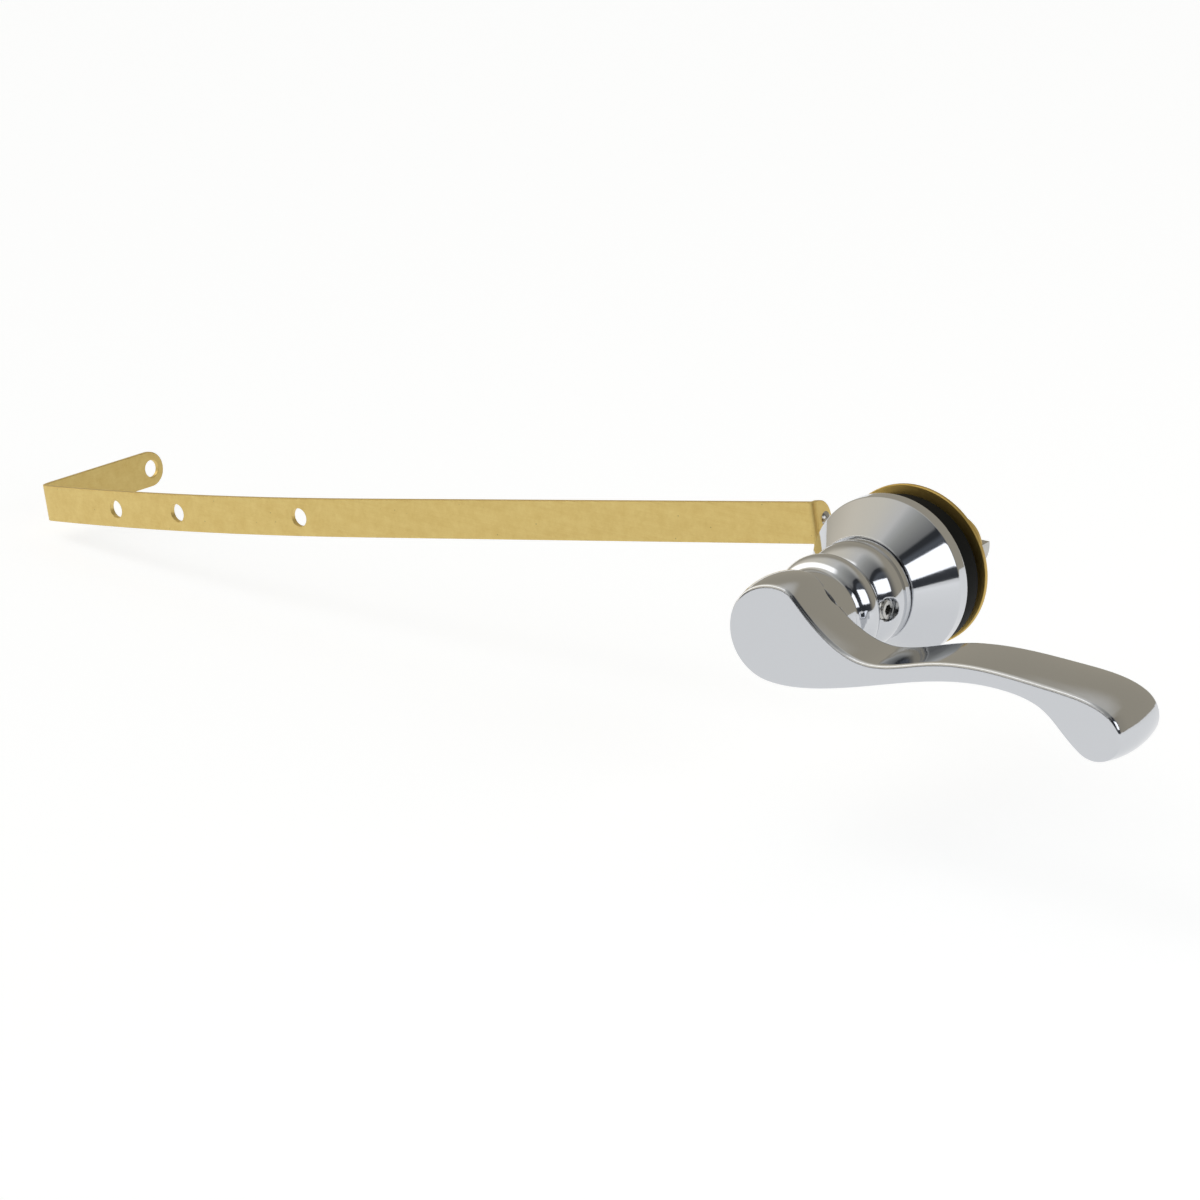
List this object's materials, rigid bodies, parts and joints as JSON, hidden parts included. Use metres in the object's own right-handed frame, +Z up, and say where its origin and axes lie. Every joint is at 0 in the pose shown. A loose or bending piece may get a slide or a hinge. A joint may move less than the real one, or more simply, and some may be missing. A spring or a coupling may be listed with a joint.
{
  "type": "cistern lever",
  "caption": "Tank trip lever: chromed teardrop handle on a turned hub and cone escutcheon, with a long brass arm, bowed and folded at its end, that lifts a flush chain.",
  "frame": {"origin": "where the spindle's axis meets the gasket's back face, which seats on the tank wall", "axes": "+X towards the handle's tip, +Y into the tank, +Z up"},
  "size_m": [0.3602, 0.1256, 0.0663],
  "materials": {
    "chrome": "polished",
    "brass": "satin",
    "plated_steel": "satin",
    "rubber": "matte",
    "nylon": "matte"
  },
  "bodies": {
    "housing": {"escutcheon": "chrome", "thrust_washer": "nylon", "shank": "brass", "gasket": "rubber", "clamp_washer": "brass", "lock_nut": "brass"},
    "lever": {"handle": "chrome", "handle_set_screw": "plated_steel", "spindle": "plated_steel", "arm": "brass", "arm_bracket": "brass", "arm_rivet": "plated_steel", "bracket_screw": "plated_steel"}
  },
  "joints": [
    {"name": "lever_turn", "type": "hinge", "parent": "housing", "child": "lever", "pos_m": [0, 0, 0], "axis": [0, 1, 0], "range_deg": [0, 35]}
  ]
}
